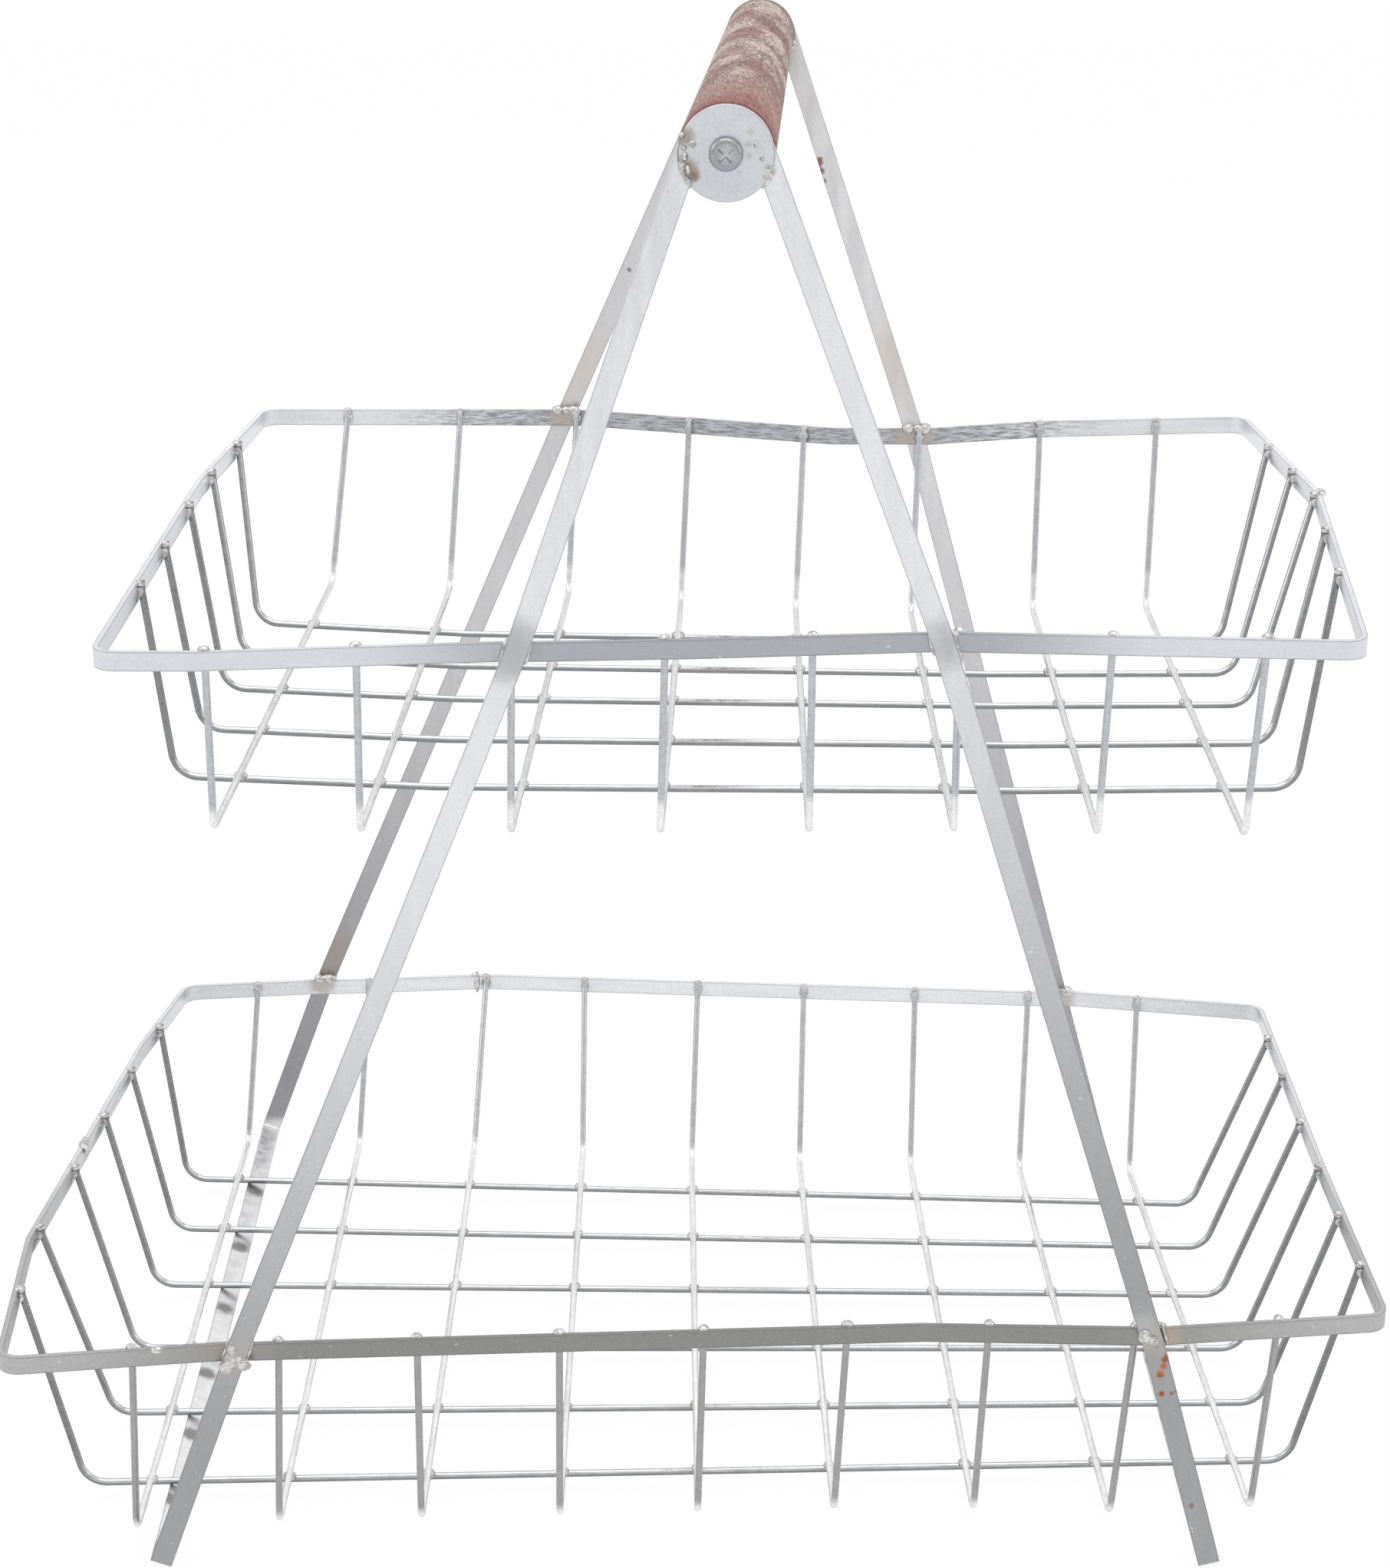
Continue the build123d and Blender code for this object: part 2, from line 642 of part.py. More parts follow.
parts = {
    "left_leg_frame": leg_frame("left"),
    "right_leg_frame": leg_frame("right"),
    "front_end_disc": end_disc("front"),
    "rear_end_disc": end_disc("rear"),
    "handle_grip": grip(),
    "front_handle_screw": handle_screw("front"),
    "rear_handle_screw": handle_screw("rear"),
    "upper_rim": rim(upper_tray),
    "lower_rim": rim(lower_tray),
}
wire_sets = {
    "upper_long_wire": long_wires(
        upper_tray, upper_floor,
        (spread_places(upper_long_left_first, upper_long_left_last, upper_long_left_shares),
         spread_places(upper_long_right_first, upper_long_right_last, upper_long_right_shares),
         spread_places(upper_long_low_left_first, upper_long_low_left_last, upper_long_low_shares),
         spread_places(upper_long_low_right_first, upper_long_low_right_last,
                       upper_long_low_shares),
         spread_places(upper_left_rear_inset, upper_left_front_inset, upper_left_inset_shares),
         spread_places(upper_right_rear_inset, upper_right_front_inset, upper_right_inset_shares)),
    ),
    "upper_cross_wire": cross_wires(
        upper_tray, (upper_front_inset, upper_rear_inset),
        (upper_front_follow_share, upper_rear_follow_share), upper_floor,
        (spread_places(upper_cross_front_first, upper_cross_front_last, upper_cross_front_shares),
         spread_places(upper_cross_rear_first, upper_cross_rear_last, upper_cross_rear_shares),
         spread_places(upper_cross_low_front_first, upper_cross_low_front_last,
                       upper_cross_low_front_shares),
         spread_places(upper_cross_low_rear_first, upper_cross_low_rear_last,
                       upper_cross_low_rear_shares)),
    ),
    "lower_long_wire": long_wires(
        lower_tray, lower_floor,
        (spread_places(lower_long_left_first, lower_long_left_last, lower_long_left_shares),
         spread_places(lower_long_right_first, lower_long_right_last, lower_long_right_shares),
         spread_places(lower_long_low_left_first, lower_long_low_left_last, lower_long_low_shares),
         spread_places(lower_long_low_right_first, lower_long_low_right_last,
                       lower_long_low_shares),
         spread_places(lower_left_rear_inset, lower_left_front_inset, lower_left_inset_shares),
         spread_places(lower_right_rear_inset, lower_right_front_inset, lower_right_inset_shares)),
    ),
    "lower_cross_wire": cross_wires(
        lower_tray, (lower_front_inset, lower_rear_inset),
        (lower_front_follow_share, lower_rear_follow_share), lower_floor,
        (spread_places(lower_cross_front_first, lower_cross_front_last, lower_cross_front_shares),
         spread_places(lower_cross_rear_first, lower_cross_rear_last, lower_cross_rear_shares),
         spread_places(lower_cross_low_front_first, lower_cross_low_front_last,
                       lower_cross_low_front_shares),
         spread_places(lower_cross_low_rear_first, lower_cross_low_rear_last,
                       lower_cross_low_rear_shares)),
    ),
}
for name, wires in wire_sets.items():
    for number, wire in enumerate(wires, start=1):
        parts[f"{name}_{number}"] = wire

# Origin on the floor under the middle of the whole object
box = Compound(children=[solid for part in parts.values() for solid in part.solids()]).bounding_box()
to_origin = Pos(-(box.min.X + box.max.X) / 2, -(box.min.Y + box.max.Y) / 2, -box.min.Z)

os.makedirs("parts", exist_ok=True)
for name, part in parts.items():
    placed = to_origin * part
    solids = placed.solids()
    export_step(solids[0] if len(solids) == 1 else Compound(solids), f"parts/{name}.step")

axis_point = to_origin * Pos(*handle_ends["front"][0])
print("parts", len(parts))
print("origin shift", tuple(round(value, 3) for value in to_origin.position))
print("handle axis point", tuple(round(value, 3) for value in axis_point.position))
print("handle axis direction", tuple(round(value, 5) for value in handle_axis))
for side in side_signs:
    rest = (to_origin * parts[f"{side}_leg_frame"]).faces().sort_by(Axis.Z)[0]
    print(side, "rest", tuple(round(value, 3) for value in rest.center()), round(rest.area, 1))
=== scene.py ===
import math

import bpy
from mathutils import Matrix, Vector


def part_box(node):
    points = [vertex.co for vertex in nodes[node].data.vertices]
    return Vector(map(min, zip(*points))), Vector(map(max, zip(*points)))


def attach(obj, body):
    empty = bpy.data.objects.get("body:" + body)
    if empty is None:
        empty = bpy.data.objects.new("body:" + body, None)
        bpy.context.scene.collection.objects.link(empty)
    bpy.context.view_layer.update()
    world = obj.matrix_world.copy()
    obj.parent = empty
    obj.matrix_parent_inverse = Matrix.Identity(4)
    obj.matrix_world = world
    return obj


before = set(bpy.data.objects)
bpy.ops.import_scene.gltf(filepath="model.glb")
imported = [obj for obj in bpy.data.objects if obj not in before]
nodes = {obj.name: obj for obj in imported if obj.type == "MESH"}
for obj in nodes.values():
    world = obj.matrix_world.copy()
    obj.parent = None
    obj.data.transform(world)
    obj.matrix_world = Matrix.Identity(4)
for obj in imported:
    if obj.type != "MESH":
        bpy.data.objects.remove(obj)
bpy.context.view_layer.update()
millimetre = 0.001


def metres(sizes):  # from a row of sizes in mm
    return [size * millimetre for size in sizes]


def colour(hexText):  # sRGB hex to linear
    channels = [int(hexText[i:i + 2], 16) / 255 for i in (1, 3, 5)]
    linear = [c / 12.92 if c <= 0.04045 else ((c + 0.055) / 1.055) ** 2.4 for c in channels]
    return (*linear, 1)


def addNode(tree, kind, settings=None, inputs=None):  # inputs by name or number, or a row of them
    node = tree.nodes.new(kind)
    for name, value in (settings or {}).items():
        setattr(node, name, value)
    values = inputs if isinstance(inputs, dict) else dict(enumerate(inputs or ()))
    for socket, value in values.items():
        if isinstance(value, bpy.types.NodeSocket):
            tree.links.new(value, node.inputs[socket])
        else:
            node.inputs[socket].default_value = value
    return node


# Settings that many nodes share. A Map Range takes a value, the two ends it comes from and the
# two it goes to. A colour Mix takes its share, 0, and its colours, 6 and 7, and gives output 2
smooth = {"interpolation_type": "SMOOTHSTEP"}
mixing = {"data_type": "RGBA"}
multiplying = {"data_type": "RGBA", "blend_type": "MULTIPLY"}
product = {"operation": "MULTIPLY"}
greater = {"operation": "MAXIMUM"}


def newMaterial(name, constants):  # returns its tree, its shader and the place on the piece
    material = bpy.data.materials.new(name)
    material.use_nodes = True
    tree = material.node_tree
    tree.nodes.clear()
    shader = addNode(tree, "ShaderNodeBsdfPrincipled", inputs=constants)
    addNode(tree, "ShaderNodeOutputMaterial", inputs={"Surface": shader.outputs["BSDF"]})
    place = addNode(tree, "ShaderNodeTexCoord").outputs["Object"]
    return material, tree, shader, place


def grainNoise(tree, place, grain, detail=3.0, seed=0.0):  # grain is its size along x, y and z in mm
    scale = [1 / (size * millimetre) for size in grain]
    mapped = addNode(tree, "ShaderNodeMapping", inputs={
        "Vector": place, "Scale": scale, "Location": (seed,) * 3})
    return addNode(tree, "ShaderNodeTexNoise", inputs={
        "Vector": mapped.outputs[0], "Scale": 1.0, "Detail": detail, "Roughness": 0.6})


spotEdge = {"core": 0.35, "grain": 1.5, "reach": 2}  # shares of the radius and the ragged size


def addStainsAndPaintedLight(tree, base, place, stainsAndPaintedLight):
    # stains, and painted reflections and highlights, are (x, y, z, radius in mm, colour, strength, size
    # of the ragged edge in mm)
    for x, y, z, radius, hexText, strength, ragged in stainsAndPaintedLight:
        rough = grainNoise(tree, place, (ragged * spotEdge["grain"],) * 3, detail=4.0, seed=x)
        shift = addNode(tree, "ShaderNodeVectorMath", {"operation": "SUBTRACT"}, [
            rough.outputs["Color"], (0.5,) * 3])
        size = addNode(tree, "ShaderNodeVectorMath", {"operation": "SCALE"}, {
            0: shift.outputs[0], "Scale": ragged * spotEdge["reach"] * millimetre})
        warped = addNode(tree, "ShaderNodeVectorMath", {"operation": "ADD"}, [
            place, size.outputs[0]])
        distance = addNode(tree, "ShaderNodeVectorMath", {"operation": "DISTANCE"}, [
            warped.outputs[0], metres((x, y, z))])
        mask = addNode(tree, "ShaderNodeMapRange", smooth, [
            distance.outputs["Value"], *metres((radius * spotEdge["core"], radius)), strength, 0.0])
        base = addNode(tree, "ShaderNodeMix", mixing, {
            0: mask.outputs[0], 6: base, 7: colour(hexText)}).outputs[2]
    return base


# Galvanised mild steel strap, drawn flat and dipped: a satin silver skin with long cloudy
# streaks and specks, painted shade darkening its edges, and brown where welding heated it
strapLook = {
    "streakDepth": 0.05, "streakLift": 0.5, "streakRange": (0.36, 0.64),
    "speckDepth": 0.04, "speckLift": 0.6, "speckRange": (0.35, 0.7), "speckSize": 0.9,
    "flakes": 0.55, "flakeRange": (0.66, 0.72), "flakeSize": (2.4, 2.4, 1.4), "flakeColour": "#F4F4F5",
    "paintedEdgeStrength": 0.7, "paintedEdgeRange": (0.80, 0.995), "edgeRadius": 0.85, "paintedEdgeLight": "#75787D",
    "roughness": (0.30, 0.48), "roughRange": (0.3, 0.7),
    "bump": 0.25, "bumpHeight": 0.05, "bumpSize": 0.5,
}


def steelMaterial(name, look, stainsAndPaintedLight=()):
    material, tree, shader, place = newMaterial(name, {"Metallic": 1.0})
    axes = addNode(tree, "ShaderNodeSeparateXYZ", inputs=[place])
    if look["run"] == "up":
        along = axes.outputs["Z"]
    else:
        centred = addNode(tree, "ShaderNodeMath", {"operation": "SUBTRACT"}, [
            axes.outputs["X"], look["middle"] * millimetre])
        along = addNode(tree, "ShaderNodeMath", {"operation": "ABSOLUTE"}, [
            centred.outputs[0]]).outputs[0]
    # Painted shade and reflection: the base colour runs from a near to a far tone up the legs or out
    # from a rim's middle, with its own pair of tones behind
    paintedShade = addNode(tree, "ShaderNodeMapRange", smooth, [along, *metres(look["span"])]).outputs[0]
    front = addNode(tree, "ShaderNodeMix", mixing, {
        0: paintedShade, 6: colour(look["frontNear"]), 7: colour(look["frontFar"])})
    rear = addNode(tree, "ShaderNodeMix", mixing, {
        0: paintedShade, 6: colour(look["rearNear"]), 7: colour(look["rearFar"])})
    backward = addNode(tree, "ShaderNodeMapRange", smooth, [
        axes.outputs["Y"], *metres(look["rearFrom"])]).outputs[0]
    base = addNode(tree, "ShaderNodeMix", mixing, {
        0: backward, 6: front.outputs[2], 7: rear.outputs[2]}).outputs[2]
    if "runner" in look:  # the runner on the floor is polished bright by it
        onFloor = addNode(tree, "ShaderNodeMapRange", smooth, [
            axes.outputs["Z"], *metres(look["runnerTop"]), 1.0, 0.0])
        behindFront = addNode(tree, "ShaderNodeMapRange", smooth, [
            axes.outputs["Y"], *metres(look["runnerFront"])])
        onRunner = addNode(tree, "ShaderNodeMath", product, [
            onFloor.outputs[0], behindFront.outputs[0]])
        base = addNode(tree, "ShaderNodeMix", mixing, {
            0: onRunner.outputs[0], 6: base, 7: colour(look["runner"])}).outputs[2]
    streak = grainNoise(tree, place, look["streak"], detail=4.0)
    deep = look["streakDepth"]
    streakShade = addNode(tree, "ShaderNodeMapRange", smooth, [
        streak.outputs[0], *look["streakRange"], 1 - deep, 1 + deep * look["streakLift"]])
    base = addNode(tree, "ShaderNodeMix", multiplying, {
        0: 1.0, 6: base, 7: streakShade.outputs[0]}).outputs[2]
    speck = grainNoise(tree, place, (look["speckSize"],) * 3, detail=2.0, seed=3.0)
    deep = look["speckDepth"]
    speckShade = addNode(tree, "ShaderNodeMapRange", smooth, [
        speck.outputs[0], *look["speckRange"], 1 - deep, 1 + deep * look["speckLift"]])
    base = addNode(tree, "ShaderNodeMix", multiplying, {
        0: 1.0, 6: base, 7: speckShade.outputs[0]}).outputs[2]
    flake = grainNoise(tree, place, look["flakeSize"], detail=5.0, seed=12.0)
    flakeMask = addNode(tree, "ShaderNodeMapRange", smooth, [
        flake.outputs[0], *look["flakeRange"], 0.0, look["flakes"]])
    base = addNode(tree, "ShaderNodeMix", mixing, {
        0: flakeMask.outputs[0], 6: base, 7: colour(look["flakeColour"])}).outputs[2]
    if "brushed" in look:  # dark flecks behind, where the skin is thin
        brush = look["brushed"]
        fleck = grainNoise(tree, place, brush["grain"], detail=5.0, seed=7.0)
        fleckMask = addNode(tree, "ShaderNodeMapRange", smooth, [fleck.outputs[0], *brush["range"]])
        near = addNode(tree, "ShaderNodeMapRange", smooth, [
            along, *metres(brush["reach"]), 1.0, 0.0])
        there = addNode(tree, "ShaderNodeMath", product, [near.outputs[0], backward])
        fleckAmount = addNode(tree, "ShaderNodeMath", product, [
            fleckMask.outputs[0], there.outputs[0]])
        base = addNode(tree, "ShaderNodeMix", mixing, {
            0: fleckAmount.outputs[0], 6: base, 7: colour(brush["colour"])}).outputs[2]
    base = addStainsAndPaintedLight(tree, base, place, stainsAndPaintedLight)
    # Painted shade along the edges: the edge tone is mixed in where the rounded normal turns from the
    # flat one; on the screws that tone is pale, a painted highlight
    rounded = addNode(tree, "ShaderNodeBevel", {"samples": 4}, {
        "Radius": look["edgeRadius"] * millimetre})
    flat = addNode(tree, "ShaderNodeNewGeometry").outputs["Normal"]
    turn = addNode(tree, "ShaderNodeVectorMath", {"operation": "DOT_PRODUCT"}, [
        rounded.outputs[0], flat])
    edge = addNode(tree, "ShaderNodeMapRange", smooth, [
        turn.outputs["Value"], *look["paintedEdgeRange"], look["paintedEdgeStrength"], 0.0])
    base = addNode(tree, "ShaderNodeMix", mixing, {
        0: edge.outputs[0], 6: base, 7: colour(look["paintedEdgeLight"])}).outputs[2]
    roughness = addNode(tree, "ShaderNodeMapRange", smooth, [
        streak.outputs[0], *look["roughRange"], *look["roughness"]])
    lift = grainNoise(tree, place, (look["bumpSize"],) * 3, detail=2.0, seed=5.0)
    bump = addNode(tree, "ShaderNodeBump", inputs={
        "Strength": look["bump"], "Distance": look["bumpHeight"] * millimetre,
        "Height": lift.outputs[0], "Normal": rounded.outputs[0]})
    tree.links.new(base, shader.inputs["Base Color"])
    tree.links.new(roughness.outputs[0], shader.inputs["Roughness"])
    tree.links.new(bump.outputs[0], shader.inputs["Normal"])
    return material


def dress(name, material):
    node = nodes[name]
    if not node.data.materials:
        node.data.materials.append(material)
    for slot in node.material_slots:
        slot.material = material


heatTint = "#BFB3AA"
# Painted shade: each leg is darker towards its foot, in front and behind
legLook = {
    **strapLook, "run": "up", "span": (30, 280), "streak": (5, 5, 45), "rearFrom": (100, 130),
    "frontNear": "#A8A9AB", "frontFar": "#EEF0F4", "rearNear": "#A6A6AB", "rearFar": "#DAD9DB",
    "runner": "#F2F2F3", "runnerTop": (4, 9), "runnerFront": (-157, -148),
}
rightLegLook = {**legLook, "rearNear": "#B8B8BE", "rearFar": "#F0F0F2", "span": (90, 360)}
leftLegStainsAndReflections = [
    (-144, -160, 78, 13, "#B4B2B0", 0.7, 3), (-150, -160, 76, 5, "#A58A78", 0.6, 2),
    (-54, -146, 309, 14, "#A9ABAE", 0.7, 3),
    (-51, 155, 332, 26, "#D9CFC7", 0.6, 5), (-50, 155, 309, 7, "#C9BEB6", 0.5, 3),
    (-154, 160, 80, 22, "#A89C92", 0.6, 4), (-24.6, 154.4, 366.1, 1.2, "#7E7F82", 0.9, 0.5),
    # painted reflections of the lower long wires: a dark mark on the runner under each one
    (-178, 99, 3, 6, "#8C817C", 0.8, 2), (-177, 51, 3, 5.5, "#76706D", 0.8, 2),
    (-176, 3, 3, 5.5, "#6F6C6B", 0.8, 2), (-176, -45, 3, 5.5, "#6F6C6B", 0.8, 2),
    (-175, -86, 3, 5.5, "#76706D", 0.8, 2), (-176, -128, 4, 5.5, "#76706D", 0.8, 2),
]
rightLegStains = [
    (144, -154, 83, 9, "#BDBDBC", 0.7, 2), (149, -155, 79, 8, "#B9B0A4", 0.5, 2),
    (76, -146, 309, 14, "#A9ABAE", 0.7, 3),
    (82, 126, 337, 30, "#E0D7CF", 0.6, 5), (84, 124, 309, 7, "#D2C8C0", 0.5, 3),
    (46.8, 142.9, 409, 2.2, "#8C6A55", 0.9, 1.2), (47.4, 142.6, 405.6, 2.4, "#8C6A55", 0.9, 1.2),
    (48.6, 142.1, 402, 1.7, "#96755F", 0.85, 1), (149, 140, 72, 18, "#B3AAA2", 0.5, 4),
    (150.0, -156, 68.5, 1.8, "#B4631F", 0.9, 1.5), (150.9, -156, 71.3, 1.8, "#C07030", 0.9, 1.5),
    (151.8, -155, 74.0, 1.8, "#A8571B", 0.9, 1.5), (153.2, -155, 76.8, 1.0, "#8A4B1E", 0.9, 0.6),
    (150.7, -156.7, 61.7, 1.4, "#AC5C20", 0.95, 0.5), (153.8, -156.8, 61.9, 0.9, "#A8632E", 0.9, 0.4),
    (148.6, -155.4, 77.6, 0.9, "#9A6338", 0.7, 0.5), (145.8, -153.5, 96.7, 1.2, "#A56A3C", 0.8, 0.6),
    (161.6, -161.4, 22.9, 1.3, "#9C6F4C", 0.7, 0.6), (155, -157, 62.5, 0.7, "#A8632E", 0.8, 0.3),
]
dress("left_leg_frame", steelMaterial("galvanisedStrapLeftLeg", legLook, leftLegStainsAndReflections))
dress("right_leg_frame", steelMaterial("galvanisedStrapRightLeg", rightLegLook, rightLegStains))
# Painted shade: the front of the upper rim is darker towards its middle, and its rear paler
upperRimLook = {
    **strapLook, "run": "across", "streak": (28, 28, 2.2), "middle": 20, "span": (60, 130),
    "frontNear": "#B4B7BC", "frontFar": "#E2E4E9", "rearNear": "#CACBCF", "rearFar": "#EEEFF3",
    "rearFrom": (-20, 40),
    "brushed": {"grain": (5, 5, 0.55), "range": (0.40, 0.62), "reach": (95, 150), "colour": "#929298"},
}
upperRimStains = [
    (-51, 153, 309, 8, heatTint, 0.8, 2), (83, 125, 309, 10, heatTint, 0.8, 2),
    (-51, -146, 309, 8, "#A7A9AC", 0.5, 2), (75, -146, 309, 8, "#A7A9AC", 0.5, 2),
]
# Painted shade and reflection: the front of the lower rim is darker towards its middle, and its rear is
# painted bright as a reflection of the floor
lowerRimLook = {
    **strapLook, "run": "across", "streak": (28, 28, 2.2), "middle": 2, "span": (120, 215),
    "frontNear": "#949492", "frontFar": "#BCBCBC", "rearNear": "#F2F3F6", "rearFar": "#E4E5E8",
    "rearFrom": (-120, 20), "speckDepth": 0.06,
}
lowerRimStains = [
    (-153, -158, 78, 6, "#A99F98", 0.5, 2), (-137, -158, 78, 4, "#A99F98", 0.4, 2),
    (152, -152, 80, 7, "#B5A897", 0.8, 2), (-154, 159, 68, 8, "#B0A59C", 0.7, 3),
    (150, 140, 70, 8, "#B0A59C", 0.6, 3), (-223, -1, 72, 6, "#B9B4AE", 0.6, 2),
]
dress("upper_rim", steelMaterial("galvanisedStrapUpperRim", upperRimLook, upperRimStains))
dress("lower_rim", steelMaterial("galvanisedStrapLowerRim", lowerRimLook, lowerRimStains))

# Zinc-plated steel discs, punched and tumbled: smooth, cloudy and pale, with yellow-brown flux, painted
# shade along their edges, and the rear one painted darker as shade
discLook = {
    **strapLook, "run": "up", "streak": (9, 9, 9), "streakDepth": 0.06, "speckDepth": 0.05,
    "roughness": (0.26, 0.42), "edgeRadius": 0.7, "paintedEdgeStrength": 0.35, "rearFrom": (0, 40),
    "frontNear": "#DADDE2", "frontFar": "#DDE0E5", "rearNear": "#B4B5B9", "rearFar": "#A4A5A9",
    "span": (440, 470), "bump": 0.2,
}
discStains = [
    (-2.4, -137.6, 459.4, 3.6, "#A08F7C", 0.75, 1.4), (-1.6, -137.6, 450.3, 4.4, "#A3937A", 0.8, 1.4),
    (0.4, -137.6, 448.4, 2.2, "#8C7660", 0.8, 0.8), (-3.4, -137.6, 453.8, 1.6, "#B4A897", 0.6, 0.8),
    (15.7, -138.5, 457.6, 1.3, "#BDB09B", 0.5, 0.8), (15.8, -138.5, 454.4, 1.3, "#C1B6A5", 0.45, 0.8),
    (16.4, -138.5, 461, 1.3, "#BDB09B", 0.4, 0.8), (22.4, -138.8, 450.4, 1.0, "#A98F6E", 0.7, 0.5),
    (20.5, -138.8, 448.4, 1.2, "#C2B399", 0.5, 0.6), (13.2, -138.8, 449.4, 1.2, "#CBBFA9", 0.4, 0.6),
]
for end, stainsAndPaintedLight in (("front", discStains), ("rear", ())):
    dress(f"{end}_end_disc", steelMaterial(f"zincPlatedDisc_{end}", discLook, stainsAndPaintedLight))

# Zinc-plated screws, cold headed: shinier and darker than the discs, with a mottled painted highlight
# in the recess and a pale painted highlight along the edges
screwLook = {
    **discLook, "roughness": (0.16, 0.30), "frontNear": "#A2A4A7", "frontFar": "#AEB0B3",
    "paintedEdgeLight": "#F2F3F5", "edgeRadius": 0.35, "paintedEdgeStrength": 0.5,
}
screwRecessHighlight = [(9.9, -139.5, 455.0, 4.0, "#CDD0CF", 0.7, 1.6)]  # painted highlight in the recess of the front one
for end in ("front", "rear"):
    dress(f"{end}_handle_screw", steelMaterial(f"zincPlatedScrew_{end}", screwLook, screwRecessHighlight))
print("strap, disc and screw finishes done")

# Galvanised steel wire, drawn round and welded: a smooth silver skin with fine draw lines along
# it, with painted shade making it greyer on the sides of the trays than on their floors, darker still
# at the front
wireLook = {
    "rise": 5, "rearFrom": (-100, 80), "lineShade": (0.35, 0.65, 0.84, 1.04),
    "patchSize": 3.5, "patchShade": (0.38, 0.62, 0.93, 1.03),
    "bump": 0.05, "bumpHeight": 0.03, "roughness": (0.12, 0.22), "roughRange": (0.3, 0.7),
}
longWireLook = {
    **wireLook, "edgeTone": "#8E9093", "lineSize": (30, 0.5, 0.5),
    "undersideShade": "#77787A", "undersideShadeRange": (0.05, 0.45, 0.8, 0.0),
}
crossWireLook = {**wireLook, "edgeTone": "#E4E5E6", "lineSize": (0.5, 30, 0.5)}
wireLooks = {
    "upper_long_wire": {
        **longWireLook, "count": 5, "floor": 250,
        "floorLitTone": "#DCDDDF", "sideShadedTone": "#CFD1D5", "frontShadedTone": "#CFD1D5"},
    "upper_cross_wire": {
        **crossWireLook, "count": 8, "floor": 252,
        "floorLitTone": "#F8F8F8", "sideShadedTone": "#D2D4D8", "frontShadedTone": "#C4C7CB"},
    "lower_long_wire": {
        **longWireLook, "count": 6, "floor": 12,
        "floorLitTone": "#D6D7D9", "sideShadedTone": "#B9BABC", "frontShadedTone": "#B9BABC"},
    "lower_cross_wire": {
        **crossWireLook, "count": 9, "floor": 9,
        "floorLitTone": "#FBFBFB", "sideShadedTone": "#D0D1D4", "frontShadedTone": "#A9A9A8"},
}


def wireMaterial(name, look):
    constants = {"Metallic": 1.0, "Specular Tint": colour(look["edgeTone"])}
    material, tree, shader, place = newMaterial(name, constants)
    axes = addNode(tree, "ShaderNodeSeparateXYZ", inputs=[place])
    rising = addNode(tree, "ShaderNodeMapRange", smooth, [
        axes.outputs["Z"], *metres((look["floor"], look["floor"] + look["rise"]))])
    backward = addNode(tree, "ShaderNodeMapRange", smooth, [
        axes.outputs["Y"], *metres(look["rearFrom"])])
    # Painted shade: floor runs get the pale lit tone, sides and front the greyer shaded tones
    sides = addNode(tree, "ShaderNodeMix", mixing, {
        0: backward.outputs[0], 6: colour(look["frontShadedTone"]), 7: colour(look["sideShadedTone"])})
    base = addNode(tree, "ShaderNodeMix", mixing, {
        0: rising.outputs[0], 6: colour(look["floorLitTone"]), 7: sides.outputs[2]}).outputs[2]
    if "undersideShade" in look:  # painted shade on the undersides of the long wires
        normal = addNode(tree, "ShaderNodeNewGeometry").outputs["Normal"]
        facing = addNode(tree, "ShaderNodeSeparateXYZ", inputs=[normal]).outputs["Z"]
        dimmer = addNode(tree, "ShaderNodeMapRange", smooth, [facing, *look["undersideShadeRange"]])
        base = addNode(tree, "ShaderNodeMix", mixing, {
            0: dimmer.outputs[0], 6: base, 7: colour(look["undersideShade"])}).outputs[2]
    lines = grainNoise(tree, place, look["lineSize"], detail=3.0, seed=1.0)
    lineShade = addNode(tree, "ShaderNodeMapRange", smooth, [lines.outputs[0], *look["lineShade"]])
    base = addNode(tree, "ShaderNodeMix", multiplying, {
        0: 1.0, 6: base, 7: lineShade.outputs[0]}).outputs[2]
    patches = grainNoise(tree, place, (look["patchSize"],) * 3, detail=4.0, seed=2.0)
    patchShade = addNode(tree, "ShaderNodeMapRange", smooth, [
        patches.outputs[0], *look["patchShade"]])
    base = addNode(tree, "ShaderNodeMix", multiplying, {
        0: 1.0, 6: base, 7: patchShade.outputs[0]}).outputs[2]
    roughness = addNode(tree, "ShaderNodeMapRange", smooth, [
        patches.outputs[0], *look["roughRange"], *look["roughness"]])
    lift = addNode(tree, "ShaderNodeBump", inputs={
        "Strength": look["bump"], "Distance": look["bumpHeight"] * millimetre,
        "Height": patches.outputs[0]})
    tree.links.new(base, shader.inputs["Base Color"])
    tree.links.new(roughness.outputs[0], shader.inputs["Roughness"])
    tree.links.new(lift.outputs[0], shader.inputs["Normal"])
    return material


wireNames = {}
for kind, look in wireLooks.items():
    material = wireMaterial(f"galvanisedWire_{kind}", look)
    wireNames[kind] = [f"{kind}_{number}" for number in range(1, look["count"] + 1)]
    for name in wireNames[kind]:
        dress(name, material)
print("wire finishes done")

